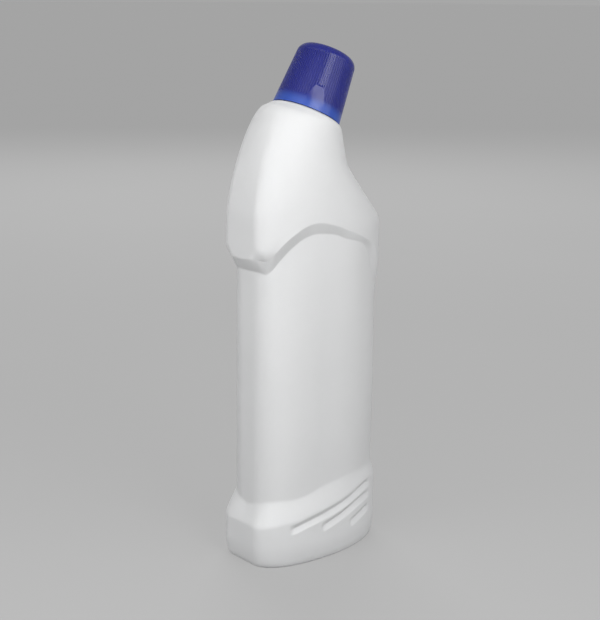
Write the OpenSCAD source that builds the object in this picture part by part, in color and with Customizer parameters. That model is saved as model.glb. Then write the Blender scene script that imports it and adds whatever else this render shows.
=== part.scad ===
// Squeeze bottle with an angled neck and a ribbed safety cap, standing on its base.
// Lengths are in millimetres. The blunt front faces -X, the rounded back faces +X,
// and the neck leans towards the back.

/* [Body] */
// Height of the body up to the middle of the neck's foot
body_h = 243; // [230:1:256]
// Reach of the body from its widest place to the blunt front
front_reach = 39; // [36:0.5:42]
// Reach of the body from its widest place to the rounded back
back_reach = 54; // [50:0.5:58]
// Width of the body from side to side
body_w = 54.4; // [50:0.2:58]
// Width of the flat front
front_flat = 22.6; // [18:0.2:26]
// Rounding of the flat front's two corners
front_round = 6.7; // [5:0.1:9]
// Angle at which the sides leave the front corners, from the length of the body
front_turn = 57; // [52:1:62]
// Squareness of the back half of the section, where 2 is an ellipse
back_square = 2; // [1.9:0.1:2.4]
// Thickness of the blown wall
wall = 0.9; // [0.8:0.1:1.3]
// Depth by which the foot is drawn in under the sides
foot_in = 2.4; // [1.6:0.2:3.2]
// Height over which the foot is drawn in
foot_h = 12; // [9:0.5:14]
// Width of the flat foot ring
foot_w = 6; // [4:0.5:8]
// Rise of the base inside the foot ring
push_up = 3; // [2:0.5:4]
// Width of the slope from the foot ring up to the raised base
push_run = 5; // [3:0.5:7]

/* [Label panel] */
// Depth of the label panel at the front
front_inset = 6; // [4:0.5:7]
// Depth of the label panel at the sides
side_inset = 3; // [2:0.5:4]
// Depth of the label panel at the back
back_inset = 2.2; // [1.4:0.2:3]
// Height of the skirt's outer edge at the front
skirt_edge_h = 23; // [20:0.5:25]
// Height of the panel's lower edge at the front
panel_low_h = 33.5; // [31:0.5:36]
// Lift of the skirt's edges from the front to the back
skirt_sweep = 12.5; // [9:0.5:14]
// Drop of the panel's upper edge at the front below the neck's foot
panel_top_drop = 81; // [78:0.5:86]
// Height of the sloped ledge above the panel at the front
ledge_h = 7; // [6:0.5:9]
// Height over which the front's corners roll in above the ledge
roll_h = 7; // [5:0.5:9]
// Lift of the panel's upper edge from the front to its crest on the sides
wave_rise = 20.7; // [18:0.1:22]
// Exponent of the ledges' rounded slope
ledge_power = 1.1; // [1:0.1:1.6]

/* [Skirt grooves] */
// Width of each engraved groove
groove_w = 5.6; // [4.6:0.2:6]
// Depth of each engraved groove
groove_depth = 1.5; // [0.8:0.1:1.8]

/* [Shoulder] */
// Drop of the topmost level section of the body below the neck's foot
level_drop = 113; // [107:1:123]
// Drop below the neck's foot at which the front starts to curve back
front_curve_drop = 51.5; // [47:0.5:57]
// Drop of the corner at the back below the neck's foot, before its rounding
back_corner_drop = 58; // [53:0.5:63]
// Rounding of the corner at the back
back_corner_round = 12; // [8:0.5:14]
// Reach from the widest place to the nape behind the neck
nape_reach = 28; // [26:0.2:30]
// Drop of the nape below the neck's foot, before its rounding
nape_drop = 29.5; // [26:0.5:33]
// Rounding of the nape
nape_round = 12; // [8:0.5:14]

/* [Neck] */
// Lean of the neck from upright, in degrees
neck_tilt = 25.8; // [23:0.2:28]
// Reach from the widest place to the middle of the neck's foot
neck_reach = 4.3; // [3:0.1:6]
// Radius of the crown where the shoulder turns over to the flat around the neck
crown_r = 22.1; // [21.4:0.1:23]
// Drop of the turned edge of the crown
crown_drop = 3.6; // [3:0.1:4.4]
// Width of the turned edge of the crown
crown_run = 4.8; // [4:0.1:5.2]
// Radius of the neck outside
neck_r = 12.5; // [12.2:0.1:12.8]
// Radius of the neck's bore
bore_r = 10.75; // [10.4:0.05:11]
// Height of the neck above its foot
neck_h = 18; // [16:0.5:19]
// Inner radius of the two catch lugs beside the neck
lug_r = 15.5; // [15.4:0.1:15.6]
// Thickness of the catch lugs
lug_t = 1.4; // [1:0.1:1.5]
// Height of the catch lugs
lug_h = 4.5; // [3:0.5:6]
// Share of a turn that each catch lug spans
lug_turn_share = 0.06; // [0.04:0.01:0.08]

/* [Nozzle insert] */
// Radius of the flange that sits on the mouth
flange_r = 12.2; // [11.8:0.1:12.4]
// Thickness of the flange
flange_t = 1.2; // [1:0.1:1.6]
// Depth of the plug inside the bore
plug_h = 8; // [6:0.5:10]
// Wall of the plug and of the spout
insert_wall = 1; // [0.8:0.1:1.2]
// Radius of the spout at its foot
spout_foot_r = 7; // [6:0.1:8]
// Radius of the spout at its tip
spout_tip_r = 3.6; // [3.2:0.1:4]
// Radius of the squirt hole
orifice_r = 1.6; // [1.2:0.1:2]
// Thickness of the wall around the squirt hole
orifice_t = 1.4; // [1:0.1:2]

/* [Cap] */
// Radius of the cap at its rim
cap_rim_r = 18.8; // [18.6:0.1:19.4]
// Radius of the cap's tapered side where it would meet the top
cap_top_r = 15.8; // [15.6:0.1:16.4]
// Height of the cap
cap_h = 35.4; // [34:0.1:36.6]
// Rounding around the cap's top
cap_round = 5.5; // [4:0.5:6]
// Height of the smooth band above the cap's rim
rim_band_h = 5.6; // [4:0.2:7]
// Distance from the cap's top down to the upper ends of its ribs
rib_drop = 4.6; // [4.6:0.2:8]
// Number of ribs around the cap
rib_count = 84; // [60:4:96]
// Rise of the ribs above the ground between them
rib_rise = 0.25; // [0.15:0.05:0.3]
// Height of the squeeze pads above the cap's rim
pad_h = 13; // [11:0.2:18]
// Width of a squeeze pad along its upper edge
pad_w = 5; // [4:0.5:7]
// Thickness of the cap's outer wall
cap_wall = 1.4; // [1.2:0.1:1.5]
// Thickness of the cap's top
cap_roof = 2; // [1.8:0.1:2.6]
// Bore of the inner skirt, as a radius
skirt_bore_r = 13.9; // [13.8:0.05:14]
// Thickness of the inner skirt
skirt_t = 1.2; // [1:0.1:1.3]
// Height of the inner skirt's lower edge above the rim
skirt_raise = 2; // [1.5:0.5:4]
// Width left at the top of the pocket between the inner skirt and the wall
pocket_w = 0.8; // [0.6:0.1:1]

/* [Sealing wad] */
// Radius of the foam disc in the cap's top
wad_r = 13.4; // [13:0.1:13.5]
// Thickness of the foam disc
wad_t = 1.2; // [1:0.1:1.5]

/* [Clearances] */
// Gap between the cap's rim and the shoulder
rim_gap = 0.4; // [0.4:0.1:1]
// Gap between the plug and the bore
plug_gap = 0.05; // [0.05:0.05:0.1]
// Gap between pieces that rest on each other
rest_gap = 0.05; // [0.05:0.05:0.1]
// Length by which cuts run past a face
overrun = 1; // [0.5:0.5:2]

/* [Hidden] */
// Facets around the exact round shapes in the preview
$fn = 96;
// Sub-parts of the object

// Steps of the section in each quarter, all round, and in the finer count behind them
quarter_n = 18;
ring_n = 4 * quarter_n;
fine_n = 180;
// Half of the body's width, and its length
half_w = body_w / 2;
body_l = front_reach + back_reach;
// Middle of the widest place, so that the body is centred on the origin
widest_x = (front_reach - back_reach) / 2;
// Share of the length that lies in front of the widest place
front_share = front_reach / body_l;
// Share of a turn between the front of the cap and its first squeeze pad
pad_turn_share = 0.16;
// Share of its height by which each side of a squeeze pad spreads downwards
pad_spread_share = 0.4;
// Share of the ribs' pitch that is left open between two of them
rib_space_share = 0.36;
// Quarter of a turn
right_angle = 90;
// Heights that hang from the height of the body
panel_top_h = body_h - panel_top_drop;
level_h = body_h - level_drop;
front_curve_h = body_h - front_curve_drop;
back_corner_h = body_h - back_corner_drop;
nape_h = body_h - nape_drop;

// Edges of the skirt and of the panel, as [quarters from the front, share of the sweep]
skirt_edge_shares = [[0, 0.03], [0.15, 0.02], [0.28, 0], [0.4, 0.09], [0.55, 0.21], [0.68, 0.26],
    [0.8, 0.37], [1, 0.56], [1.15, 0.72], [1.3, 0.93], [1.45, 1.13], [1.57, 1.17], [1.8, 0.85], [2, 0.75]];
panel_low_shares = [[0, -0.06], [0.1, 0.02], [0.2, 0.13], [0.32, 0.24], [0.43, 0.29], [0.55, 0.3],
    [0.67, 0.35], [0.8, 0.47], [0.94, 0.64], [1.07, 0.75], [1.2, 0.84], [1.33, 0.92], [1.6, 0.99], [2, 1]];
// Upper edge of the panel, as [quarters from the front, share of the wave's rise]
wave_shares = [[0, 0.05], [0.18, 0.05], [0.27, 0.02], [0.33, 0.12], [0.41, 0.36], [0.5, 0.6],
    [0.6, 0.79], [0.7, 0.925], [0.8, 0.99], [0.89, 1], [1, 0.97], [1.1, 0.91], [1.2, 0.79],
    [1.33, 0.68], [1.48, 0.5], [1.6, 0.1], [1.72, -0.9], [1.85, -1.3], [2, -1.4]];
// Height of the ledge above the panel, as [quarters from the front, share of its front height]
ledge_shares = [[0, 0.95], [0.25, 1.07], [0.33, 0.88], [0.42, 0.72], [0.55, 0.76], [0.7, 0.85],
    [0.85, 0.9], [1, 0.77], [1.1, 0.66], [1.25, 0.62], [1.35, 0.52], [1.48, 0.5], [1.6, 1.3],
    [1.72, 3.2], [1.85, 3.9], [2, 4]];
// Roll of the front's corners above the ledge, as [quarters from the front, share of the panel's depth]
roll_shares = [[0, 0], [0.14, 0.02], [0.2, 0.25], [0.27, 0.45], [0.34, 0.35], [0.44, 0.08], [0.53, 0],
    [2, 0]];
// Quarters from the front between which the ledges soften to a smooth wave
soft_from_share = 1.3;
soft_to_share = 1.55;
// Share of the side depth that is left towards the back, and quarters between which it falls
back_side_share = 0.35;
side_from_share = 0.95;
side_to_share = 1.45;
// Share by which the panel is deeper at the top and the foot of the back than half way up
back_bow_share = 0.6;
// Rows of the panel, as shares of the way from the level height down to the skirt
panel_rows = [0, 0.25, 0.5, 0.75];
// Outline of the foot, as [share of its height, share of its depth]
foot_shares = [[0, 1], [0.03, 0.8], [0.1, 0.62], [0.25, 0.4], [0.5, 0.2], [0.75, 0.06], [1, 0]];
// Rows across a ledge, from its outer to its inner edge
ledge_rows = [0, 0.12, 0.3, 0.55, 0.8, 1];
// Rows of the roll above the ledge, of the shoulder up to the crown, and of the crown's turned edge
roll_rows = [0.3, 0.6, 1];
shoulder_rows = [0.11, 0.22, 0.32, 0.41, 0.5, 0.58, 0.66, 0.74, 0.81, 0.87, 0.92, 0.96, 1];
crown_rows = [0.25, 0.5, 0.75, 1];
// Share of the leaning sections from which the crown takes its way, and its pull as a share of its span
crown_from_share = 0.985;
crown_pull_share = 0.38;
// Pulls of the front curve, as shares of its height and of its depth
front_low_pull_share = 0.255;
front_top_pull_share = 0.445;
// Share of the leaning sections at which they start to turn round, and how late they do
turn_round_share = 0.25;
turn_round_power = 2.2;
// Grooves of the skirt, as [quarters from the front, share of the skirt's edge height];
// the first and the last entry of each lie past its ends and only steer them
groove_shares = [
    [[0.5, 0.87], [0.6, 0.935], [0.8, 1.06], [1.03, 1.18], [1.28, 1.335], [1.43, 1.45], [1.57, 1.51],
        [1.65, 1.54]],
    [[0.88, 0.77], [0.97, 0.84], [1.15, 0.97], [1.28, 1.07], [1.43, 1.175], [1.57, 1.22], [1.65, 1.245]],
    [[1.2, 0.63], [1.31, 0.705], [1.44, 0.795], [1.57, 0.87], [1.68, 0.93]]];
// Place of a groove's deepest line, as a share of its half width above its middle
groove_floor_share = 0.1;
// Run-out at each end of a groove, in quarters, and steps to a quarter along it
groove_end_share = 0.03;
groove_step_share = 1 / quarter_n;

// Place of a value in a table of [place, value] pairs
function span(tab, w, i = 0) =
    (i >= len(tab) - 2 || w <= tab[i + 1][0]) ? i : span(tab, w, i + 1);
// Slope of the smooth curve at an entry of the table, level at both ends
function slope(tab, i) = (i == 0 || i == len(tab) - 1) ? 0 :
    (tab[i + 1][1] - tab[i - 1][1]) / (tab[i + 1][0] - tab[i - 1][0]);
// Value of the smooth curve through the table
function curve(tab, w) =
    let (i = span(tab, w),
        step = tab[i + 1][0] - tab[i][0],
        u = (w - tab[i][0]) / step,
        v = 1 - u)
    v * v * (1 + 2 * u) * tab[i][1] + u * u * (1 + 2 * v) * tab[i + 1][1]
    + u * v * v * step * slope(tab, i) - u * u * v * step * slope(tab, i + 1);

// Smooth step from 0 to 1
function ease(u) = let (v = max(0, min(1, u))) v * v * (3 - 2 * v);

// Lengths along a path, and the point at a share of its length
function lengths(path) = [for (i = 0, s = 0; i < len(path);
    s = s + (i + 1 < len(path) ? norm(path[i + 1] - path[i]) : 0), i = i + 1) s];
function along(path, lens, share) =
    let (want = share * lens[len(lens) - 1],
        at = lookup(want, [for (i = [0 : len(lens) - 1]) [lens[i], i]]),
        i = min(floor(at), len(path) - 2))
    path[i] + (path[i + 1] - path[i]) * (at - i);

// Half of the front: its flat, the rounded corner and the long curve out to the widest place
corner_turn = right_angle - front_turn;
front_mid = [front_reach - front_round, front_flat / 2];
function front_arc(p) = front_mid + front_round * [cos(p), sin(p)];
front_end = front_arc(corner_turn);
front_pull = [front_end[0] - (half_w - front_end[1]) / tan(front_turn), half_w];
front_half = concat([[front_reach, 0]],
    [for (k = [0 : fine_n]) front_arc(corner_turn * k / fine_n)],
    [for (k = [1 : fine_n]) let (u = k / fine_n, v = 1 - u)
        v * v * front_end + 2 * u * v * front_pull + u * u * [0, half_w]]);
// Half of the rounded back
function back_arc(p) = [back_reach * pow(cos(p), 2 / back_square), half_w * pow(sin(p), 2 / back_square)];
back_half = [for (k = [0 : fine_n]) back_arc(right_angle * k / fine_n)];
// Quarter of the section in equal steps from its end to its widest place, in unit size
function equal_steps(path, reach) = let (lens = lengths(path))
    [for (k = [0 : quarter_n]) let (q = along(path, lens, k / quarter_n)) [q[0] / reach, q[1] / half_w]];
front_quarter = equal_steps(front_half, front_reach);
back_quarter = equal_steps(back_half, back_reach);

// Section of unit size, counted from the front by way of the -Y side
function unit(i) =
    i <= quarter_n ? [-front_quarter[i][0], -front_quarter[i][1]] :
    i <= 2 * quarter_n ? [back_quarter[2 * quarter_n - i][0], -back_quarter[2 * quarter_n - i][1]] :
    i <= 3 * quarter_n ? back_quarter[i - 2 * quarter_n] :
    [-front_quarter[ring_n - i][0], front_quarter[ring_n - i][1]];
units = [for (i = [0 : ring_n - 1]) unit(i)];
// Quarters between the front and a place of the section
function quarters(i) = (i <= 2 * quarter_n ? i : ring_n - i) / quarter_n;
// Circle of unit size with the same count
function round_unit(i) = let (p = right_angle * (2 + i / quarter_n)) [cos(p), sin(p)];

// Depth of the panel at the side of a place of the section
function side_depth(i) = side_inset
    * (1 - (1 - back_side_share) * ease((quarters(i) - side_from_share) / (side_to_share - side_from_share)));
// Point of a level section, pulled in to the panel by a share and by a depth
function level_point(i, z, share, depth) =
    let (u = units[i],
        reach = u[0] < 0 ? front_reach - share * front_inset : back_reach - share * back_inset)
    [widest_x + u[0] * (reach - depth), u[1] * (half_w - share * side_depth(i) - depth), z];

// Ring of the crown, and the profiles of the front and the back up to it
lean = [cos(neck_tilt), -sin(neck_tilt)];
rise = [sin(neck_tilt), cos(neck_tilt)];
neck_foot = [widest_x + neck_reach, body_h];
crown_mid = neck_foot - rise * crown_drop;
crown_front = crown_mid - lean * crown_r;
crown_back = crown_mid + lean * crown_r;
front_x = widest_x - front_reach;
back_x = widest_x + back_reach;
front_pulls = [[front_x, front_curve_h],
    [front_x, front_curve_h + front_low_pull_share * (crown_front[1] - front_curve_h)],
    [crown_front[0] - front_top_pull_share * (crown_front[0] - front_x), crown_front[1]],
    crown_front];
function bezier(p, u) = let (v = 1 - u)
    v * v * v * p[0] + 3 * u * v * v * p[1] + 3 * u * u * v * p[2] + u * u * u * p[3];
bezier_n = 24;
front_path = concat([[front_x, level_h]], [for (k = [0 : bezier_n]) bezier(front_pulls, k / bezier_n)]);
// Rounded corner of a path between two straight runs
function unit_of(v) = v / norm(v);
function corner(a, b, c, r) =
    let (da = unit_of(a - b),
        dc = unit_of(c - b),
        run = r / tan(acos(da * dc) / 2),
        pa = b + da * run,
        pc = b + dc * run)
    [for (k = [0 : corner_n]) let (u = k / corner_n, v = 1 - u) v * v * pa + 2 * u * v * b + u * u * pc];
corner_n = 10;
back_corner = [back_x, back_corner_h];
nape = [widest_x + nape_reach, nape_h];
back_path = concat([[back_x, level_h]],
    corner([back_x, level_h], back_corner, nape, back_corner_round),
    corner(back_corner, nape, crown_back, nape_round),
    [crown_back]);
front_lens = lengths(front_path);
back_lens = lengths(back_path);
front_run = front_lens[len(front_lens) - 1];
back_run = back_lens[len(back_lens) - 1];

// Share by which a leaning section has turned round
function turned(t) = t <= turn_round_share ? 0 :
    pow((t - turn_round_share) / (1 - turn_round_share), turn_round_power);
// Point of a leaning section at a share of the way from the level body to the crown
function lean_point(i, t, share, depth) =
    let (a = along(front_path, front_lens, t),
        b = along(back_path, back_lens, t),
        g = turned(t),
        l = norm(b - a),
        e = (b - a) / l,
        m = front_share + (1 / 2 - front_share) * g,
        u = units[i] * (1 - g) + round_unit(i) * g,
        reach = u[0] < 0 ? m * l - share * front_inset : (1 - m) * l - share * back_inset,
        w = half_w + (crown_r - half_w) * g - share * side_depth(i),
        at = a + e * (m * l + u[0] * (reach - depth)))
    [at[0], u[1] * (w - depth), at[1]];
// Share of the way up at which the body has a height
function lean_share(i, z) =
    let (x = units[i][0] * (units[i][0] < 0 ? front_reach : back_reach),
        s = (x + front_reach) / body_l)
    (z - level_h) / (front_run + s * (back_run - front_run));
// Point of a ring around the neck, at a height above its foot
function neck_point(i, r, h) =
    let (u = round_unit(i),
        at = neck_foot + rise * h + lean * (u[0] * r))
    [at[0], u[1] * r, at[1]];

// Heights of the skirt's outer edge and of the panel's lower edge
function skirt_edge(i) = skirt_edge_h + skirt_sweep * curve(skirt_edge_shares, quarters(i));
function panel_low(i) = panel_low_h + skirt_sweep * curve(panel_low_shares, quarters(i));
// Heights of the panel's upper edge and of the ledge's outer edge
function panel_top(i) = panel_top_h + wave_rise * curve(wave_shares, quarters(i));
function bulge_edge(i) = panel_top(i) + ledge_h * curve(ledge_shares, quarters(i));
// Share of the panel's depth to which the front's corners roll in, at a share of the roll's height
function roll(i, v) = curve(roll_shares, quarters(i)) * (1 - v) * (1 - v);
// Share of the panel's depth at a share of the way across a ledge
function softness(i) = ease((quarters(i) - soft_from_share) / (soft_to_share - soft_from_share));
function ledge_depth(i, u) =
    (1 - softness(i)) * pow(u, ledge_power) + softness(i) * u * u * (3 - 2 * u);
// Share of the panel's depth at a height, where the back bows in towards both ends
panel_mid_h = (panel_low_h + panel_top_h) / 2;
function bow(i, z) =
    let (u = (z - panel_mid_h) / (panel_top_h - panel_mid_h))
    1 + back_bow_share * softness(i) * min(1, u * u);

// Point of the shoulder at a share of the way from the roll above the ledge up to the crown
function shoulder_point(i, v, depth) =
    let (t = lean_share(i, bulge_edge(i) + roll_h)) lean_point(i, t + v * (1 - t), 0, depth);

// Rows of points of the body, from the base up the outside and down the inside
turns = [for (i = [0 : ring_n - 1]) i];
function level_row(z, depth) = [for (i = turns) level_point(i, z, 0, depth)];
// Point of the crown's turned edge, from the shoulder over to the flat around the neck
function crown_point(i, u) =
    let (v = 1 - u,
        a = lean_point(i, 1, 0, 0),
        d = neck_point(i, crown_r - crown_run, 0),
        pull = crown_pull_share * norm(d - a),
        b = a + pull * unit_of(a - lean_point(i, crown_from_share, 0, 0)),
        c = d + pull * unit_of(d - neck_point(i, 0, 0)))
    bezier([a, b, c, d], u);
skirt_back = wall + groove_depth;
base_in = foot_in + foot_w;
// Radius of the seam between the outside and the inside, within the wall of the neck
seam_r = (bore_r + neck_r) / 2;
outer_rows = concat(
    [level_row(push_up, base_in + push_run),
        level_row(0, base_in)],
    [for (q = foot_shares) level_row(foot_h * q[0], foot_in * q[1])],
    [for (u = ledge_rows) [for (i = turns)
        level_point(i, skirt_edge(i) + u * (panel_low(i) - skirt_edge(i)),
            bow(i, panel_low(i)) * ledge_depth(i, u), 0)]],
    [for (k = [len(panel_rows) - 1 : -1 : 0]) [for (i = turns)
        let (z = level_h - panel_rows[k] * (level_h - panel_low(i))) level_point(i, z, bow(i, z), 0)]],
    [for (k = [len(ledge_rows) - 1 : -1 : 0]) let (u = ledge_rows[k]) [for (i = turns)
        let (r = roll(i, 0)) lean_point(i, lean_share(i, bulge_edge(i) + u * (panel_top(i) - bulge_edge(i))),
            r + (bow(i, panel_top(i)) - r) * ledge_depth(i, u), 0)]],
    [for (v = roll_rows) [for (i = turns)
        lean_point(i, lean_share(i, bulge_edge(i) + v * roll_h), roll(i, v), 0)]],
    [for (v = shoulder_rows) [for (i = turns) shoulder_point(i, v, 0)]],
    [for (u = crown_rows) [for (i = turns) crown_point(i, u)]],
    [[for (i = turns) neck_point(i, seam_r, 0)]]);
inner_rows = concat(
    [[for (i = turns) neck_point(i, seam_r, -wall)],
        [for (i = turns) neck_point(i, crown_r - crown_run, -wall)]],
    [for (k = [len(shoulder_rows) - 1 : -1 : 0]) [for (i = turns) shoulder_point(i, shoulder_rows[k], wall)]],
    [[for (i = turns) shoulder_point(i, 0, wall)],
        [for (i = turns) lean_point(i, lean_share(i, bulge_edge(i)), roll(i, 0), wall)],
        [for (i = turns) lean_point(i, lean_share(i, panel_top(i)), bow(i, panel_top(i)), wall)]],
    [for (u = panel_rows) [for (i = turns)
        let (z = level_h - u * (level_h - panel_low(i))) level_point(i, z, bow(i, z), wall)]],
    [[for (i = turns) level_point(i, panel_low(i), bow(i, panel_low(i)), wall)],
        [for (i = turns) level_point(i, skirt_edge(i), 0, skirt_back)],
        level_row(foot_h, skirt_back),
        level_row(wall + foot_h * foot_shares[2][0], foot_in * foot_shares[2][1] + skirt_back),
        level_row(wall, foot_in + skirt_back),
        level_row(wall, base_in - wall / 2),
        level_row(push_up + wall, base_in + push_run)]);

// Closed skin through rows of points, with a middle point at each end
module skin(rows, first, last) {
    n = len(rows);
    points = concat([first], [for (r = rows) each r], [last]);
    end = len(points) - 1;
    faces = concat(
        [for (i = turns) [0, 1 + i, 1 + (i + 1) % ring_n]],
        [for (r = [0 : n - 2]) for (i = turns) let (a = 1 + r * ring_n, j = (i + 1) % ring_n)
            [a + i, a + ring_n + i, a + ring_n + j]],
        [for (r = [0 : n - 2]) for (i = turns) let (a = 1 + r * ring_n, j = (i + 1) % ring_n)
            [a + i, a + ring_n + j, a + j]],
        [for (i = turns) let (a = 1 + (n - 1) * ring_n) [a + i, end, a + (i + 1) % ring_n]]);
    polyhedron(points, faces, convexity = 10);
}

// Places things around the leaning axis of the neck, from its foot upwards
module on_neck() {
    translate([neck_foot[0], 0, neck_foot[1]]) rotate([0, neck_tilt, 0]) children();
}

// Point of the skirt at a number of quarters from the front, and the way out from it
function skirt_point(w) =
    let (i = min(floor(w * quarter_n), ring_n - 2),
        f = w * quarter_n - i,
        q = level_point(i, 0, 0, 0) * (1 - f) + level_point(i + 1, 0, 0, 0) * f)
    [q[0], q[1]];
function skirt_out(w) =
    let (d = unit_of(skirt_point(w + groove_step_share / 2) - skirt_point(w - groove_step_share / 2)))
    [d[1], -d[0]];

// Body of one groove: a steep upper wall and a long slope below it, with a run-out at each end
module groove(shares) {
    from = shares[1][0];
    to = shares[len(shares) - 2][0];
    n = ceil((to - from) / groove_step_share);
    ways = concat([from - groove_end_share], [for (k = [0 : n]) from + (to - from) * k / n],
        [to + groove_end_share]);
    half = groove_w / 2;
    up = half + overrun * half * (1 - groove_floor_share) / groove_depth;
    down = half + overrun * half * (1 + groove_floor_share) / groove_depth;
    points = [for (k = [0 : n + 2])
        let (w = ways[k],
            z = skirt_edge_h * curve(shares, max(from, min(to, w))),
            q = skirt_point(w),
            out = skirt_out(w),
            floor_at = (k == 0 || k == n + 2) ? overrun / 2 : -groove_depth,
            outer = q + out * overrun,
            inner = q + out * floor_at)
        each [[outer[0], outer[1], z + up], [inner[0], inner[1], z + half * groove_floor_share],
            [outer[0], outer[1], z - down]]];
    last = 3 * (n + 2);
    faces = concat([[0, 2, 1], [last, last + 1, last + 2]],
        [for (k = [0 : n + 1]) for (e = [0 : 2])
            let (a = 3 * k + e, b = 3 * k + (e + 1) % 3) each [[a, b, b + 3], [a, b + 3, a + 3]]]);
    polyhedron(points, faces, convexity = 4);
}

// Grooves of both sides
module grooves() {
    for (s = groove_shares) {
        groove(s);
        mirror([0, 1, 0]) groove(s);
    }
}

// Blown bottle with its panel, skirt, shoulder and neck
module bottle() {
    color([0.93, 0.94, 0.95]) union() {
        difference() {
            skin(concat(outer_rows, inner_rows), [widest_x, 0, push_up], [widest_x, 0, push_up + wall]);
            grooves();
        }
        on_neck() {
            translate([0, 0, -wall - overrun]) difference() {
                cylinder(h = wall + overrun + neck_h, r = neck_r);
                translate([0, 0, -overrun]) cylinder(h = wall + neck_h + 3 * overrun, r = bore_r);
            }
            for (k = [0, 1 / 2]) rotate([0, 0, 360 * (k + pad_turn_share + 1 / 4)])
                translate([0, 0, -wall / 2]) rotate_extrude(angle = 360 * lug_turn_share)
                translate([lug_r, 0]) square([lug_t, lug_h + wall / 2]);
        }
    }
}

// Moulded plug with the squirting spout, pressed into the mouth
spout_top = rim_gap + cap_h - cap_roof - wad_t - 2 * rest_gap;
plug_r = bore_r - plug_gap;
module nozzle_insert() {
    seat = neck_h + rest_gap;
    color([0.95, 0.95, 0.93]) on_neck() rotate_extrude() polygon([
        [plug_r - insert_wall, neck_h - plug_h],
        [plug_r, neck_h - plug_h],
        [plug_r, seat],
        [flange_r, seat],
        [flange_r, seat + flange_t],
        [spout_foot_r, seat + flange_t],
        [spout_tip_r, spout_top],
        [orifice_r, spout_top],
        [orifice_r, spout_top - orifice_t],
        [spout_tip_r - insert_wall, spout_top - orifice_t],
        [spout_foot_r - insert_wall, seat],
        [plug_r - insert_wall, seat]]);
}

// Foam disc that seals the spout's tip
module sealing_wad() {
    color([0.97, 0.97, 0.94]) on_neck() translate([0, 0, spout_top + rest_gap])
        cylinder(h = wad_t, r = wad_r);
}

// Moulded cap with a tapered wall and an inner skirt that screws on the neck
cap_lean = (cap_rim_r - cap_top_r) / cap_h;
cap_angle = atan(cap_lean);
function cap_side(h) = cap_rim_r - cap_lean * h;
round_h = cap_h - cap_round;
round_x = cap_side(round_h) - cap_round / cos(cap_angle);
pocket_top = (cap_rim_r - cap_wall - skirt_bore_r - skirt_t - pocket_w) / cap_lean;
rib_top = cap_h - rib_drop;
rib_pitch = 360 / rib_count;
// Spaces between the ribs, from the rim band up to the ribs' ends
module rib_spaces() {
    for (k = [0 : rib_count - 1]) rotate([0, 0, rib_pitch * k])
        rotate_extrude(angle = rib_pitch * rib_space_share) polygon([
            [cap_side(rim_band_h) - rib_rise, rim_band_h],
            [cap_rim_r + overrun, rim_band_h],
            [cap_rim_r + overrun, rib_top],
            [cap_side(rib_top) - rib_rise, rib_top]]);
}
// Two opposite squeeze pads, wider towards the rim
module squeeze_pads() {
    foot_half = pad_w / 2 + pad_spread_share * pad_h;
    for (k = [0, 1 / 2]) rotate([0, 0, 360 * (k + pad_turn_share)]) rotate([right_angle, 0, right_angle])
        linear_extrude(height = cap_rim_r + 2 * overrun)
        polygon([[-foot_half, 0], [foot_half, 0], [pad_w / 2, pad_h], [-pad_w / 2, pad_h]]);
}
// Turned body of the cap
module cap_body() {
    rotate_extrude() difference() {
        union() {
            polygon([
                [0, 0],
                [cap_rim_r, 0],
                [round_x + cap_round * cos(cap_angle), round_h + cap_round * sin(cap_angle)],
                [round_x, round_h],
                [round_x, cap_h],
                [0, cap_h]]);
            intersection() {
                translate([round_x, round_h]) circle(r = cap_round);
                square([cap_rim_r, cap_h]);
            }
        }
        translate([0, -overrun]) square([skirt_bore_r, cap_h - cap_roof + overrun]);
        translate([0, -overrun]) square([cap_rim_r - cap_wall, skirt_raise + overrun]);
        polygon([
            [skirt_bore_r + skirt_t, 0],
            [cap_rim_r - cap_wall, 0],
            [cap_side(pocket_top) - cap_wall, pocket_top],
            [skirt_bore_r + skirt_t, pocket_top]]);
    }
}
module cap() {
    color([0.12, 0.15, 0.48]) on_neck() translate([0, 0, rim_gap]) difference() {
        cap_body();
        difference() {
            rib_spaces();
            squeeze_pads();
        }
    }
}

bottle();
nozzle_insert();
sealing_wad();
cap();
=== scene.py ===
# Squeeze bottle with an angled neck and a ribbed safety cap: its looks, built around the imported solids.
import math

import bpy
import numpy as np
from mathutils import Matrix


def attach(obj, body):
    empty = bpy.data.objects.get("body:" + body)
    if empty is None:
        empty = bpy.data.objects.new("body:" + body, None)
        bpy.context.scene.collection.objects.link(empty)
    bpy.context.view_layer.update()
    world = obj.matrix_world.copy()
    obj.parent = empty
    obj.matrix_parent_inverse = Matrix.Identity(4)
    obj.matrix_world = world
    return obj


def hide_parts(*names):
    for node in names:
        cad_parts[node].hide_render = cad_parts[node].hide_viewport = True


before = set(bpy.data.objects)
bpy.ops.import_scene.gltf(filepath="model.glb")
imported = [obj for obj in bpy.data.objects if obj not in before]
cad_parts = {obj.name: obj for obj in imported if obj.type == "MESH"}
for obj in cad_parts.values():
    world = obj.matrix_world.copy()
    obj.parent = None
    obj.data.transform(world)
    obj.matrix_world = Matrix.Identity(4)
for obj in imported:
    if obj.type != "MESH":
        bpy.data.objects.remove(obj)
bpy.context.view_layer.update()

# Sizes in millimetres; meshes are scaled to metres. They are those of the solids, apart from the softer
# corners of the front and of the panel (FRONT_FLAT to PANEL_NOSE) and the finish of small edges
MM = 0.001
FRONT_REACH, BACK_REACH, HALF_W = 39.0, 54.0, 27.2
FRONT_FLAT, FRONT_ROUND, FRONT_TURN, BACK_SQUARE = 20.2, 10.0, math.radians(57.0), 2.0
PANEL_FLAT, PANEL_ROUND, PANEL_NOSE = 8.0, 18.0, 1.0
WIDEST_X = (FRONT_REACH - BACK_REACH) / 2
BODY_L = FRONT_REACH + BACK_REACH
FRONT_SHARE = FRONT_REACH / BODY_L
WALL = 0.9
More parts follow.
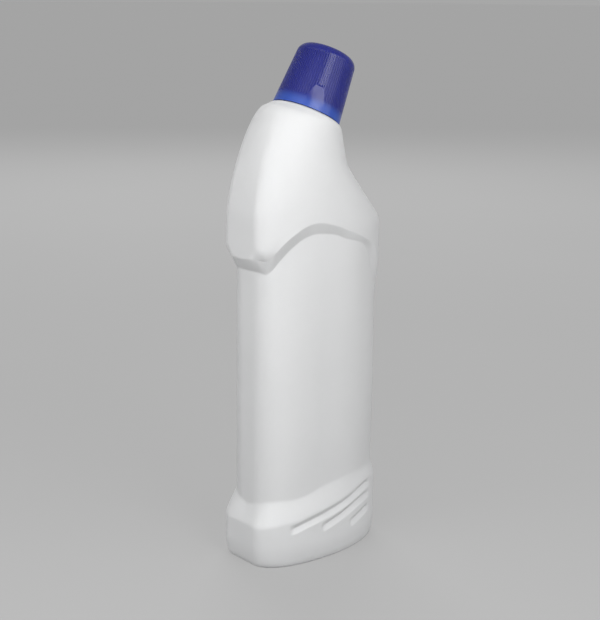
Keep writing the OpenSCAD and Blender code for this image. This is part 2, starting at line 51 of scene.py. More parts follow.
FOOT_IN, FOOT_H, FOOT_W, PUSH_UP, PUSH_RUN = 2.4, 12.0, 6.0, 3.0, 5.0
FRONT_INSET, SIDE_INSET, BACK_INSET = 6.0, 3.0, 2.2
SKIRT_EDGE_H, PANEL_LOW_H, SKIRT_SWEEP = 23.0, 33.5, 12.5
PANEL_TOP_H, LEDGE_H, ROLL_H, WAVE_RISE, LEDGE_POWER = 162.0, 7.0, 7.0, 20.7, 1.1
GROOVE_W, GROOVE_DEPTH, GROOVE_FLOOR = 5.6, 1.5, 0.1
LEVEL_H, FRONT_CURVE_H, BACK_CORNER_H, BACK_CORNER_ROUND = 130.0, 191.5, 185.0, 12.0
NAPE_REACH, NAPE_H, NAPE_ROUND = 28.0, 213.5, 12.0
NECK_TILT, NECK_REACH, NECK_FOOT_H = math.radians(25.8), 4.3, 243.0
CROWN_R, CROWN_DROP, CROWN_RUN = 22.1, 3.6, 4.8
NECK_R, BORE_R, NECK_H = 12.5, 10.75, 18.0
LUG_R, LUG_T, LUG_H, LUG_TURN, PAD_TURN = 15.5, 1.4, 4.5, 0.06, 0.16
CAP_RIM_R, CAP_TOP_R, CAP_H, CAP_ROUND, CAP_WALL, CAP_ROOF = 18.8, 15.8, 35.4, 5.5, 1.4, 2.0
SKIRT_BORE_R, SKIRT_T, SKIRT_RAISE, POCKET_W = 13.9, 1.2, 2.0, 0.8
RIM_GAP, REST_GAP = 0.4, 0.05
WAD_R, WAD_T = 13.4, 1.2
FLANGE_R, FLANGE_T, PLUG_R, PLUG_H, INSERT_WALL = 12.2, 1.2, 10.7, 8.0, 1.0
SPOUT_FOOT_R, SPOUT_TIP_R, ORIFICE_R, ORIFICE_T = 7.0, 3.6, 1.6, 1.4
SPOUT_TOP = RIM_GAP + CAP_H - CAP_ROOF - WAD_T - 2 * REST_GAP
THREAD_PITCH, THREAD_FOOT = 4.23, 6.5
NECK_THREAD_R, NECK_RIDGE, NECK_TURNS = 12.6, 0.85, 2.1
CAP_THREAD_R, CAP_RIDGE, CAP_TURNS = 13.95, 0.7, 2.0
# Quarters of the section at which ledges turn soft and the sides lose part of their inset
SOFT_FROM, SOFT_RUN = 1.3, 0.25
FADE_FROM, FADE_RUN, FADE_SHARE = 0.95, 0.5, 0.65
# Shares that steer the back's bow, the rounding of edges, the ends of grooves and the curves up to the crown
BACK_BOW, EDGE_REACH = 0.6, 0.3
CRISP_BLUR, SOFT_BLUR, GROOVE_BLUR = 0.055, 0.07, 0.07
GROOVE_LEAD, GROOVE_RUN = 0.035, 0.06
FRONT_PULL_UP, FRONT_PULL_BACK = 0.255, 0.445
CROWN_FROM, CROWN_POWER, CROWN_PULL, CROWN_NEAR = 0.25, 2.2, 0.38, 0.985

# Frame of the leaning neck: its foot in the middle, its axis upwards
NECK_FOOT = np.array([WIDEST_X + NECK_REACH, 0.0, NECK_FOOT_H])
LEAN = np.array([math.cos(NECK_TILT), 0.0, -math.sin(NECK_TILT)])
RISE = np.array([math.sin(NECK_TILT), 0.0, math.cos(NECK_TILT)])
NECK_FRAME = Matrix.Translation(NECK_FOOT * MM) @ Matrix.Rotation(NECK_TILT, 4, "Y")

# Lines on the body, as [quarters of the section from the front, share]
SKIRT_EDGE = [[0, 0.03], [0.15, 0.02], [0.28, 0], [0.4, 0.09], [0.55, 0.21], [0.68, 0.26], [0.8, 0.37],
              [1, 0.56], [1.15, 0.72], [1.3, 0.93], [1.45, 1.13], [1.57, 1.17], [1.8, 0.85], [2, 0.75]]
PANEL_LOW = [[0, -0.06], [0.1, 0.02], [0.2, 0.13], [0.32, 0.24], [0.43, 0.29], [0.55, 0.3], [0.67, 0.35],
             [0.8, 0.47], [0.94, 0.64], [1.07, 0.75], [1.2, 0.84], [1.33, 0.92], [1.6, 0.99], [2, 1]]
WAVE = [[0, 0.05], [0.18, 0.05], [0.27, 0.02], [0.33, 0.12], [0.41, 0.36], [0.5, 0.6], [0.6, 0.79],
        [0.7, 0.925], [0.8, 0.99], [0.89, 1], [1, 0.97], [1.1, 0.91], [1.2, 0.79], [1.33, 0.68],
        [1.48, 0.5], [1.6, 0.1], [1.72, -0.9], [1.85, -1.3], [2, -1.4]]
LEDGE = [[0, 0.95], [0.25, 1.07], [0.33, 0.88], [0.42, 0.72], [0.55, 0.76], [0.7, 0.85], [0.85, 0.9],
         [1, 0.77], [1.1, 0.66], [1.25, 0.62], [1.35, 0.52], [1.48, 0.5], [1.6, 1.3], [1.72, 3.2],
         [1.85, 3.9], [2, 4]]
ROLL = [[0, 0], [0.14, 0.02], [0.2, 0.25], [0.27, 0.45], [0.34, 0.35], [0.44, 0.08], [0.53, 0], [2, 0]]
# Grooves; the first and last entries only steer their ends
GROOVES = [[[0.5, 0.87], [0.6, 0.935], [0.8, 1.06], [1.03, 1.18], [1.28, 1.335], [1.43, 1.45], [1.57, 1.51],
            [1.65, 1.54]],
           [[0.88, 0.77], [0.97, 0.84], [1.15, 0.97], [1.28, 1.07], [1.43, 1.175], [1.57, 1.22],
            [1.65, 1.245]],
           [[1.2, 0.63], [1.31, 0.705], [1.44, 0.795], [1.57, 0.87], [1.68, 0.93]]]
# Rounded foot, as [share of its height, share of its inset]
FOOT_CURVE = [[0, 1], [0.03, 0.8], [0.1, 0.62], [0.25, 0.4], [0.5, 0.2], [0.75, 0.06], [1, 0]]
# Neck from the crown up the outside, over the lip and down the bore, as [radius, height above its foot]
NECK_PROFILE = [[15.5, 0], [13.9, 0], [13.4, 0.06], [12.9, 0.3], [12.6, 0.7], [NECK_R, 1.2], [NECK_R, 6],
                [NECK_R, 12], [NECK_R, 17.3], [12.42, 17.7], [12.2, 17.93], [11.9, NECK_H], [11.2, NECK_H],
                [10.9, 17.93], [BORE_R, 17.6], [BORE_R, 9], [BORE_R, -1.5], [10.9, -1.85], [12.2, -1.9],
                [NECK_R, -1.6], [12.6, -1.1], [13, -WALL], [CROWN_R - CROWN_RUN, -WALL]]


# Curves and steps that the pieces share

def smooth_table(table, w):
    """Value of the smooth curve through a table of [place, value] pairs, level at both ends."""
    at, value = np.array(table, float).T
    slope = np.zeros(len(at))
    slope[1:-1] = (value[2:] - value[:-2]) / (at[2:] - at[:-2])
    i = np.clip(np.searchsorted(at, w) - 1, 0, len(at) - 2)
    step = at[i + 1] - at[i]
    u = (w - at[i]) / step
    v = 1 - u
    return (v * v * (1 + 2 * u) * value[i] + u * u * (1 + 2 * v) * value[i + 1]
            + u * v * v * step * slope[i] - u * u * v * step * slope[i + 1])


def ease(u):
    """Smooth step from 0 to 1."""
    v = np.clip(u, 0, 1)
    return v * v * (3 - 2 * v)


def blurred(at, value, width):
    """The same curve with its corners rounded off."""
    step = at[1] - at[0]
    reach = np.arange(-3 * width, 3 * width + step, step)
    weight = np.exp(-0.5 * (reach / width) ** 2)
    pad = len(reach) // 2
    full = np.concatenate([np.full(pad, value[0]), value, np.full(pad, value[-1])])
    return np.convolve(full, weight / weight.sum(), "same")[pad:pad + len(value)]


def run_of(path):
    """Lengths along a path."""
    return np.concatenate([[0], np.cumsum(np.linalg.norm(np.diff(path, axis=0), axis=1))])


def mesh_object(name, points, faces, material, sharp=40):
    """A plain smooth mesh from points in millimetres, with edges over a number of degrees kept sharp."""
    mesh = bpy.data.meshes.new(name)
    mesh.from_pydata((np.asarray(points) * MM).tolist(), [], faces)
    mesh.materials.append(material)
    mesh.shade_smooth()
    mesh.set_sharp_from_angle(angle=math.radians(sharp))
    obj = bpy.data.objects.new(name, mesh)
    bpy.context.scene.collection.objects.link(obj)
    return obj


def ring_faces(rows, n):
    """Quads between rows of n points."""
    faces = []
    for a in range(0, (rows - 1) * n, n):
        for i in range(n):
            j = (i + 1) % n
            faces.append((a + i, a + j, a + n + j, a + n + i))
    return faces


def capped(rows, first, last):
    """Points and faces of a skin over rows of points, closed by a middle point at either end."""
    n = len(rows[0])
    count = len(rows) * n
    faces = ring_faces(len(rows), n)
    for i in range(n):
        j = (i + 1) % n
        faces += [(count, j, i), (count - n + i, count - n + j, count + 1)]
    return np.concatenate([*rows, [first, last]]), faces


def around(r, h, turn):
    """Points around the neck's axis at radii and turns, at a height above its foot."""
    return (NECK_FOOT + RISE * h + np.outer(r * np.cos(turn), LEAN)
            + np.outer(r * np.sin(turn), [0, 1, 0]))


# Socket maths: arithmetic on a value adds the nodes that work it out

class Value:
    """A socket of a node tree that can be used in sums."""

    def __init__(self, graph, socket):
        self.graph = graph
        self.socket = socket

    def maths(self, operation, *others, flip=False):
        terms = [self, *others]
        if flip:
            terms.reverse()
        return self.graph.node("ShaderNodeMath", {"operation": operation}, dict(enumerate(terms)))

    def __add__(self, other):
        return self.maths("ADD", other)

    def __radd__(self, other):
        return self.maths("ADD", other, flip=True)

    def __sub__(self, other):
        return self.maths("SUBTRACT", other)

    def __rsub__(self, other):
        return self.maths("SUBTRACT", other, flip=True)

    def __mul__(self, other):
        return self.maths("MULTIPLY", other)

    def __rmul__(self, other):
        return self.maths("MULTIPLY", other, flip=True)

    def __truediv__(self, other):
        return self.maths("DIVIDE", other)

    def __rtruediv__(self, other):
        return self.maths("DIVIDE", other, flip=True)

    def __pow__(self, other):
        return self.maths("POWER", other)

    def __abs__(self):
        return self.maths("ABSOLUTE")

    def least(self, other):
        return self.maths("MINIMUM", other)

    def most(self, other):
        return self.maths("MAXIMUM", other)

    def step(self, low, high):
        """Smooth step from 0 at low to 1 at high."""
        return self.graph.node("ShaderNodeMapRange", {"interpolation_type": "SMOOTHSTEP"},
                               {"Value": self, "From Min": low, "From Max": high})


class Graph:
    """A node tree and the one way to add a node to it."""

    def __init__(self, tree):
        self.tree = tree

    def node(self, kind, settings, sockets, out=0):
        made = self.tree.nodes.new(kind)
        for key, value in settings.items():
            setattr(made, key, value)
        for key, value in sockets.items():
            if isinstance(value, Value):
                self.tree.links.new(value.socket, made.inputs[key])
            else:
                made.inputs[key].default_value = value
        return Value(self, made.outputs[out])


def mixed(graph, share, low, high):
    """Colour between two colours."""
    return graph.node("ShaderNodeMix", {"data_type": "RGBA"},
                      {0: share, 6: (*low, 1.0), 7: (*high, 1.0)}, out=2)


def material_graph(name, constants):
    """A material, its graph, and a function that feeds its shader's sockets."""
    material = bpy.data.materials.new(name)
    material.use_nodes = True
    shader = material.node_tree.nodes["Principled BSDF"]
    for key, value in constants.items():
        shader.inputs[key].default_value = value
    graph = Graph(material.node_tree)

    def feed(**varying):
        for key, value in varying.items():
            graph.tree.links.new(value.socket, shader.inputs[key.replace("_", " ")])
    return material, graph, feed


def noise(graph, place, scale, detail=2.0):
    """Cloudy noise between 0 and 1, with its scale in features to a metre."""
    return graph.node("ShaderNodeTexNoise", {}, {"Vector": place, "Scale": scale, "Detail": detail})


def bump(graph, height, distance=0.00002):
    """Normal over a height, with the distance that a height of 1 stands for in metres."""
    return graph.node("ShaderNodeBump", {}, {"Strength": 1.0, "Distance": distance, "Height": height})


# Colours that each finish varies between
WHITE = (0.68, 0.685, 0.69), (0.74, 0.745, 0.75)
BODY_BLUE = (0.019, 0.023, 0.17), (0.025, 0.030, 0.21)
# The rim band's lighter blue is a painted glow: light from the white shoulder reflected in the band and
# shining through its single wall.
RIM_PAINTED_GLOW_BLUE = (0.034, 0.075, 0.34), (0.040, 0.090, 0.40)
NATURAL = (0.70, 0.70, 0.66), (0.78, 0.78, 0.74)
FOAM = (0.68, 0.67, 0.62), (0.80, 0.79, 0.75)
FLOOR_GREY = (0.25, 0.25, 0.25), (0.27, 0.27, 0.27)


def bottle_white():
    """Blown white polyethylene: satin, faintly clouded, with a parting line along the mould's plane."""
    material, graph, feed = material_graph("bottle_white", {
        "IOR": 1.5, "Subsurface Weight": 0.4, "Subsurface Scale": 0.004,
        "Subsurface Radius": (1.0, 1.0, 1.0)})
    place = graph.node("ShaderNodeTexCoord", {}, {}, out="Object")
    cloud = noise(graph, place, 24.0, 3.0)
    grain = noise(graph, place, 1100.0)
    speck = noise(graph, place, 330.0).step(0.78, 0.82)
    across = graph.node("ShaderNodeSeparateXYZ", {}, {0: place}, out=1)
    seam = 1.0 - abs(across).step(0.00008, 0.0003)
    share = (cloud * 0.8 + grain * 0.2) - speck * 0.5
    feed(Base_Color=mixed(graph, share, *WHITE),
         Roughness=0.46 + cloud * 0.08 + grain * 0.06,
         Normal=bump(graph, grain * 0.5 + cloud * 2.0 + seam))
    return material


def cap_blue():
    """Moulded blue polypropylene; the rim band is painted a lighter blue, a painted glow for the white
    shoulder's light that its single wall reflects and lets through.
    """
    material, graph, feed = material_graph("cap_blue", {
        "IOR": 1.5, "Specular IOR Level": 0.22, "Subsurface Weight": 0.2, "Subsurface Scale": 0.0012,
        "Subsurface Radius": (0.2, 0.3, 1.0)})
    place = graph.node("ShaderNodeTexCoord", {}, {}, out="Object")
    cloud = noise(graph, place, 60.0, 3.0)
    grain = noise(graph, place, 1600.0)
    from_foot = graph.node("ShaderNodeVectorMath", {"operation": "SUBTRACT"},
                           {0: place, 1: tuple(NECK_FOOT * MM)})
    height = graph.node("ShaderNodeVectorMath", {"operation": "DOT_PRODUCT"},
                        {0: from_foot, 1: tuple(RISE)}, out="Value")
    # Painted glow: the band by the rim gets the lighter blue for the shoulder's light reflected in and
    # shining through it.
    band = 1.0 - (height + cloud * 0.002).step(0.003, 0.0085)
    body, rim = mixed(graph, cloud, *BODY_BLUE), mixed(graph, cloud, *RIM_PAINTED_GLOW_BLUE)
    feed(Base_Color=graph.node("ShaderNodeMix", {"data_type": "RGBA"}, {0: band, 6: body, 7: rim}, out=2),
         Roughness=0.17 + cloud * 0.04 + grain * 0.04,
         Normal=bump(graph, grain * 0.4 + cloud))
    return material


def nozzle_natural():
    """Uncoloured soft polyethylene of the plug and spout."""
    material, graph, feed = material_graph("nozzle_natural", {
        "IOR": 1.5, "Subsurface Weight": 0.3, "Subsurface Scale": 0.002,
        "Subsurface Radius": (1.0, 0.95, 0.85)})
    place = graph.node("ShaderNodeTexCoord", {}, {}, out="Object")
    cloud = noise(graph, place, 120.0, 3.0)
    grain = noise(graph, place, 1800.0)
    feed(Base_Color=mixed(graph, cloud, *NATURAL),
         Roughness=0.36 + grain * 0.1,
         Normal=bump(graph, grain + cloud))
    return material


def wad_foam():
    """Closed-cell foam of the sealing wad."""
    material, graph, feed = material_graph("wad_foam", {"IOR": 1.45})
    place = graph.node("ShaderNodeTexCoord", {}, {}, out="Object")
    cell = graph.node("ShaderNodeTexVoronoi", {}, {"Vector": place, "Scale": 2200.0})
    cloud = noise(graph, place, 300.0, 3.0)
    feed(Base_Color=mixed(graph, cloud * 0.6 + cell * 0.4, *FOAM),
         Roughness=0.75 + cell * 0.2,
         Normal=bump(graph, cell, 0.0002))
    return material


white, blue, natural, foam = bottle_white(), cap_blue(), nozzle_natural(), wad_foam()

# Section of the body: equal steps in each quarter, from the front by way of the -Y side
QUARTER_N = 64
RING_N = 4 * QUARTER_N


def front_quarter(reach, half_w, flat_w, radius):
    """Half of the flat front, its rounded corner and the long curve out to the widest place."""
    middle = np.array([reach - radius, flat_w / 2])
    turn = np.linspace(0, math.pi / 2 - FRONT_TURN, 200)[:, None]
    corner = middle + radius * np.concatenate([np.cos(turn), np.sin(turn)], 1)
    end = corner[-1]
    pull = np.array([end[0] - (half_w - end[1]) / math.tan(FRONT_TURN), half_w])
    u = np.linspace(0, 1, 600)[1:, None]
    side = (1 - u) ** 2 * end + 2 * u * (1 - u) * pull + u * u * np.array([0, half_w])
    return np.concatenate([[[reach, 0.0]], corner, side])


def back_quarter():
    """Half of the rounded back, out to the widest place."""
    p = np.linspace(0, math.pi / 2, 2001)
    power = 2 / BACK_SQUARE
    return np.stack([BACK_REACH * np.cos(p) ** power, HALF_W * np.sin(p) ** power], 1)


def equal_steps(path, reach, half_w):
    """A quarter of the section in equal steps, from its end to its widest place, in unit size."""
    run = run_of(path)
    at = np.linspace(0, run[-1], QUARTER_N + 1)
    return np.interp(at, run, path[:, 0]) / reach, np.interp(at, run, path[:, 1]) / half_w


def unit_ring(reach, half_w, front):
    """Section all round in unit size, from the front quarter."""
    front_x, front_y = equal_steps(front, reach, half_w)
    back_x, back_y = equal_steps(back_quarter(), BACK_REACH, HALF_W)
    half_x = np.concatenate([-front_x[:-1], back_x[::-1]])
    half_y = np.concatenate([-front_y[:-1], -back_y[::-1]])
    return np.concatenate([half_x, half_x[-2:0:-1]]), np.concatenate([half_y, -half_y[-2:0:-1]])


UNIT_X, UNIT_Y = unit_ring(FRONT_REACH, HALF_W,
                           front_quarter(FRONT_REACH, HALF_W, FRONT_FLAT, FRONT_ROUND))
panel_reach, panel_w = FRONT_REACH - FRONT_INSET, HALF_W - SIDE_INSET
PANEL_X, PANEL_Y = unit_ring(panel_reach, panel_w,
                             front_quarter(panel_reach + PANEL_NOSE, panel_w, PANEL_FLAT, PANEL_ROUND))
TURN = math.pi + math.pi / 2 * np.arange(RING_N) / QUARTER_N
ROUND_X, ROUND_Y = np.cos(TURN), np.sin(TURN)
counts = np.arange(RING_N)
QUARTERS = np.where(counts <= 2 * QUARTER_N, counts, RING_N - counts) / QUARTER_N

SOFT = ease((QUARTERS - SOFT_FROM) / SOFT_RUN)
SIDE_DEPTH = SIDE_INSET * (1 - FADE_SHARE * ease((QUARTERS - FADE_FROM) / FADE_RUN))
skirt_edge = SKIRT_EDGE_H + SKIRT_SWEEP * smooth_table(SKIRT_EDGE, QUARTERS)
panel_low = PANEL_LOW_H + SKIRT_SWEEP * smooth_table(PANEL_LOW, QUARTERS)
panel_top = PANEL_TOP_H + WAVE_RISE * smooth_table(WAVE, QUARTERS)
bulge_edge = panel_top + LEDGE_H * smooth_table(LEDGE, QUARTERS)
roll_share = smooth_table(ROLL, QUARTERS)


def section(share):
    """Unit section between that of the ends of the body and the rounder one of the panel."""
    part = np.clip(share, 0, 1)
    return UNIT_X + part * (PANEL_X - UNIT_X), UNIT_Y + part * (PANEL_Y - UNIT_Y)


def level_row(z, share=0.0, depth=0.0):
    """Row of a level section, pulled in to the panel by a share and by a depth."""
    x, y = section(share)
    reach = np.where(x < 0, FRONT_REACH - share * FRONT_INSET, BACK_REACH - share * BACK_INSET)
    width = HALF_W - share * SIDE_DEPTH
    z = np.broadcast_to(z, (RING_N,))
    return np.stack([WIDEST_X + x * (reach - depth), y * (width - depth), z], 1)


# Profiles of the front and the back from the level body up to the crown

def rounded_corner(a, b, c, radius):
    """Corner of a path between two straight runs."""
    to_a, to_c = (a - b) / np.linalg.norm(a - b), (c - b) / np.linalg.norm(c - b)
    run = radius / math.tan(math.acos(to_a @ to_c) / 2)
    u = np.linspace(0, 1, 41)[:, None]
    return (1 - u) ** 2 * (b + to_a * run) + 2 * u * (1 - u) * b + u * u * (b + to_c * run)


def flat(point):
    """Place of a point in the mirror plane."""
    return np.array([point[0], point[2]])


crown_mid = NECK_FOOT - RISE * CROWN_DROP
crown_front, crown_back = flat(crown_mid - LEAN * CROWN_R), flat(crown_mid + LEAN * CROWN_R)
body_front, body_back = WIDEST_X - FRONT_REACH, WIDEST_X + BACK_REACH
u = np.linspace(0, 1, 121)[:, None]
pulls = [np.array([body_front, FRONT_CURVE_H]),
         np.array([body_front, FRONT_CURVE_H + FRONT_PULL_UP * (crown_front[1] - FRONT_CURVE_H)]),
         np.array([crown_front[0] - FRONT_PULL_BACK * (crown_front[0] - body_front), crown_front[1]]),
         crown_front]
front_curve = ((1 - u) ** 3 * pulls[0] + 3 * u * (1 - u) ** 2 * pulls[1]
               + 3 * u * u * (1 - u) * pulls[2] + u ** 3 * pulls[3])
front_path = np.concatenate([[[body_front, LEVEL_H]], front_curve])
back_foot = np.array([body_back, LEVEL_H])
back_corner = np.array([body_back, BACK_CORNER_H])
nape = np.array([WIDEST_X + NAPE_REACH, NAPE_H])
back_path = np.concatenate([[back_foot],
                            rounded_corner(back_foot, back_corner, nape, BACK_CORNER_ROUND),
                            rounded_corner(back_corner, nape, crown_back, NAPE_ROUND),
                            [crown_back]])
front_run, back_run = run_of(front_path), run_of(back_path)


def along(path, run, share):
    """Points of a path at shares of its length."""
    return np.stack([np.interp(share * run[-1], run, path[:, k]) for k in range(2)], 1)


def lean_row(t, share=0.0, depth=0.0):
    """Row of leaning sections at shares of the way from the level body to the crown."""
    t = np.broadcast_to(t, (RING_N,))
    a, b = along(front_path, front_run, t), along(back_path, back_run, t)
    g = np.clip((t - CROWN_FROM) / (1 - CROWN_FROM), 0, None) ** CROWN_POWER
    length = np.linalg.norm(b - a, axis=1)
    way = (b - a) / length[:, None]
    m = FRONT_SHARE + (0.5 - FRONT_SHARE) * g
    x, y = section(share)
    x, y = x * (1 - g) + ROUND_X * g, y * (1 - g) + ROUND_Y * g
    reach = np.where(x < 0, m * length - share * FRONT_INSET, (1 - m) * length - share * BACK_INSET)
    width = HALF_W + (CROWN_R - HALF_W) * g - share * SIDE_DEPTH
    at = a + way * (m * length + x * (reach - depth))[:, None]
    return np.stack([at[:, 0], y * (width - depth), at[:, 1]], 1)


def lean_share(z):
    """Share of the way up at which the body has a height."""
    x = UNIT_X * np.where(UNIT_X < 0, FRONT_REACH, BACK_REACH)
    s = (x + FRONT_REACH) / BODY_L
    return (z - LEVEL_H) / (front_run[-1] + s * (back_run[-1] - front_run[-1]))


def body_row(z, share, depth=0.0):
    """Row at a height, level below and leaning above the level part."""
    low = level_row(np.minimum(z, LEVEL_H), share, depth)
    high = lean_row(np.maximum(lean_share(z), 0), share, depth)
    return np.where((z > LEVEL_H)[:, None], high, low)


def neck_row(r, h):
    """Row around the neck's axis at a height above its foot."""
    return around(r, h, TURN)


# Ledges: their slope from the outer edge to the panel, with both corners rounded off
ledge_at = np.linspace(-0.6, 1.6, 881)
ledge_in = np.clip(ledge_at, 0, 1)
crisp_ledge = blurred(ledge_at, ledge_in ** LEDGE_POWER, CRISP_BLUR)
soft_ledge = blurred(ledge_at, ease(ledge_in), SOFT_BLUR)


def ledge_depth(u):
    """Share of the panel's depth at a share of the way across a ledge."""
    return (1 - SOFT) * np.interp(u, ledge_at, crisp_ledge) + SOFT * np.interp(u, ledge_at, soft_ledge)


def bow(z):
    """Share of the panel's depth at a height; the back bows in towards both ends."""
    middle = (PANEL_LOW_H + PANEL_TOP_H) / 2
    return 1 + BACK_BOW * SOFT * np.minimum(1, ((z - middle) / (PANEL_TOP_H - middle)) ** 2)


def rolled(z):
    """Share of the panel's depth by which the front's corners have rolled in at a height."""
    return roll_share * (1 - np.clip((z - bulge_edge) / ROLL_H, 0, 1)) ** 2


# Grooves: a steep upper wall and a long slope below it, with softened edges
groove_at = np.linspace(-2, 2, 801)
groove_cut = blurred(groove_at, np.interp(groove_at, [-1, GROOVE_FLOOR, 1], [0, 1, 0]), GROOVE_BLUR)


def groove_depth(z):
    """Depth of the grooves at a height around the section."""
    depth = np.zeros(RING_N)
    for line in GROOVES:
        first, last = line[1][0], line[-2][0]
        middle = SKIRT_EDGE_H * smooth_table(line, np.clip(QUARTERS, first, last))
        ends = (ease((QUARTERS - first + GROOVE_LEAD) / GROOVE_RUN)
                * ease((last + GROOVE_LEAD - QUARTERS) / GROOVE_RUN))
        cut = np.interp((z - middle) / (GROOVE_W / 2), groove_at, groove_cut)
        depth = np.maximum(depth, GROOVE_DEPTH * ends * cut)
    return depth


def bottle_rows():
    """Rows of the bottle's skin, from the base up the outside, over the lip and down the inside."""
    rows = []
    for s in np.linspace(0, 1, 9):
        rows.append(level_row(PUSH_UP * (1 - ease(s)), depth=FOOT_IN + FOOT_W + PUSH_RUN * (1 - s)))
    for s in (0.0, 0.004, 0.012, 0.03, 0.06, 0.1, 0.16, 0.25, 0.36, 0.5, 0.62, 0.75, 0.88):
        rows.append(level_row(FOOT_H * s, depth=FOOT_IN * smooth_table(FOOT_CURVE, s)))
    slope = panel_low - skirt_edge
    for s in np.linspace(0, 1, 78)[:-1]:
        z = FOOT_H + s * (skirt_edge - EDGE_REACH * slope - FOOT_H)
        rows.append(level_row(z, depth=groove_depth(z)))
    for s in np.linspace(-EDGE_REACH, 1 + EDGE_REACH, 36):
        z = skirt_edge + s * slope
        rows.append(level_row(z, bow(np.maximum(z, panel_low)) * ledge_depth(s), groove_depth(z)))
    low, slope = panel_low + EDGE_REACH * slope, bulge_edge - panel_top
    high = np.maximum(panel_top - EDGE_REACH * slope, LEVEL_H + 1.0)
    over = bulge_edge + np.minimum(EDGE_REACH * slope, ROLL_H / 2)
    for s in np.linspace(0, 1, 16)[1:-1]:
        z = low + s * (LEVEL_H - low)
        rows.append(body_row(z, bow(z)))
    for s in np.linspace(0, 1, 14)[:-1]:
        z = LEVEL_H + s * (high - LEVEL_H)
        rows.append(body_row(z, bow(z)))
    for s in np.linspace(0, 1, 44):
        z = high + s * (over - high)
        full = bow(np.minimum(z, panel_top)) - roll_share
        rows.append(body_row(z, rolled(z) + full * ledge_depth((bulge_edge - z) / slope)))
    for s in np.linspace(0, 1, 14)[1:]:
        z = over + s * (bulge_edge + ROLL_H - over)
        full = bow(panel_top) - roll_share
        rows.append(body_row(z, rolled(z) + full * ledge_depth((bulge_edge - z) / slope)))
    start = lean_share(bulge_edge + ROLL_H)
    for s in np.linspace(0, 1, 60)[1:]:
        rows.append(lean_row(start + s * (1 - start)))
    rim, before = rows[-1], lean_row(CROWN_NEAR)
    way = (rim - before) / np.linalg.norm(rim - before, axis=1)[:, None]
    ledge = neck_row(CROWN_R - CROWN_RUN, 0.0)
    inward = neck_row(1.0, 0.0) - ledge
    inward /= np.linalg.norm(inward, axis=1)[:, None]
    pull = CROWN_PULL * np.linalg.norm(ledge - rim, axis=1)[:, None]
    for s in np.linspace(0, 1, 15)[1:]:
        rows.append((1 - s) ** 3 * rim + 3 * s * (1 - s) ** 2 * (rim + way * pull)
                    + 3 * s * s * (1 - s) * (ledge - inward * pull) + s ** 3 * ledge)
    for r, h in NECK_PROFILE:
        rows.append(neck_row(r, h))
    for s in np.linspace(1, 0, 20):
        rows.append(lean_row(start + s * (1 - start), depth=WALL))
    rows.append(body_row(bulge_edge, roll_share, WALL))
    for z in (panel_top, (panel_top + LEVEL_H) / 2, LEVEL_H + 0 * panel_top,
              (LEVEL_H + panel_low) / 2, panel_low):
        rows.append(body_row(z, bow(z), WALL))
    back = WALL + GROOVE_DEPTH
    for z, depth in ((skirt_edge, back), (FOOT_H, back), (WALL + 0.1 * FOOT_H, 0.62 * FOOT_IN + back),
                     (WALL, FOOT_IN + back), (WALL, FOOT_IN + FOOT_W - WALL / 2),
                     (PUSH_UP + WALL, FOOT_IN + FOOT_W + PUSH_RUN)):
        rows.append(level_row(z, depth=depth))
    return rows


def bottle_skin():
    """Blown bottle: one closed skin with foot, skirt, panel, shoulder and neck."""
    points, faces = capped(bottle_rows(), [WIDEST_X, 0, PUSH_UP], [WIDEST_X, 0, PUSH_UP + WALL])
    return mesh_object("bottle_skin", points, faces, white, sharp=50)


# Pieces turned around the neck's axis

def rounded(corners, steps=5):
    """Profile through [radius, height, rounding] corners, each rounded off by its rounding."""
    n = len(corners)
    profile = []
    for k, (r, h, cut) in enumerate(corners):
        here = np.array([r, h])
        if cut == 0:
            profile.append(here)
            continue
        before = np.array(corners[(k - 1) % n][:2]) - here
        after = np.array(corners[(k + 1) % n][:2]) - here
        a = here + before / np.linalg.norm(before) * cut
        c = here + after / np.linalg.norm(after) * cut
        for s in np.linspace(0, 1, steps + 1):
            profile.append((1 - s) ** 2 * a + 2 * s * (1 - s) * here + s * s * c)
    return np.array(profile)


def turned(name, profile, n, material, closed, inset=None):
    """A profile turned round the neck's axis; an open one starts and ends on the axis."""
    turn = 2 * math.pi * np.arange(n) / n
    body = profile if closed else profile[1:-1]
    rows = [around(r - (inset(r, h, turn) if inset else 0), h, turn) for r, h in body]
    if closed:
        points = np.concatenate(rows)
        faces = [tuple(k % len(points) for k in face) for face in ring_faces(len(rows) + 1, n)]
    else:
        ends = [NECK_FOOT + RISE * h for h in (profile[0][1], profile[-1][1])]
        points, faces = capped(rows, *ends)
    return mesh_object(name, points, faces, material)


# Cap: tapered wall, rounded top, rim band, squeeze pads and an inner skirt
CAP_LEAN = (CAP_RIM_R - CAP_TOP_R) / CAP_H
CAP_ANGLE = math.atan(CAP_LEAN)
RIB_TOP, RIB_FOOT, RIB_COUNT, RIB_RISE, RIB_HALF = CAP_H - 4.6, 5.6, 84, 0.25, 0.43
# Place of the first rib in steps, a rib's rounding as a share of its half width, and how far it sinks in
RIB_FIRST, RIB_EDGE, RIB_LAP, RIB_SINK = 0.68, 0.2, 0.3, 0.02
# Squeeze pads; they dip in the middle, where those of the solid follow the cap's side
PAD_TOP, PAD_HALF, PAD_FLARE, PAD_DIP, PAD_R = 13.0, 2.5, 0.4, 0.36, 17.8
PAD_ANGLE = 2 * math.pi * PAD_TURN


def cap_side(h):
    """Radius of the cap's side at a height above its rim."""
    return CAP_RIM_R - CAP_LEAN * h


def pad_half(h):
    """Half width of a squeeze pad at a height above the rim."""
    return np.where(h < PAD_TOP, PAD_HALF + (PAD_TOP - h) * PAD_FLARE, -2.0)


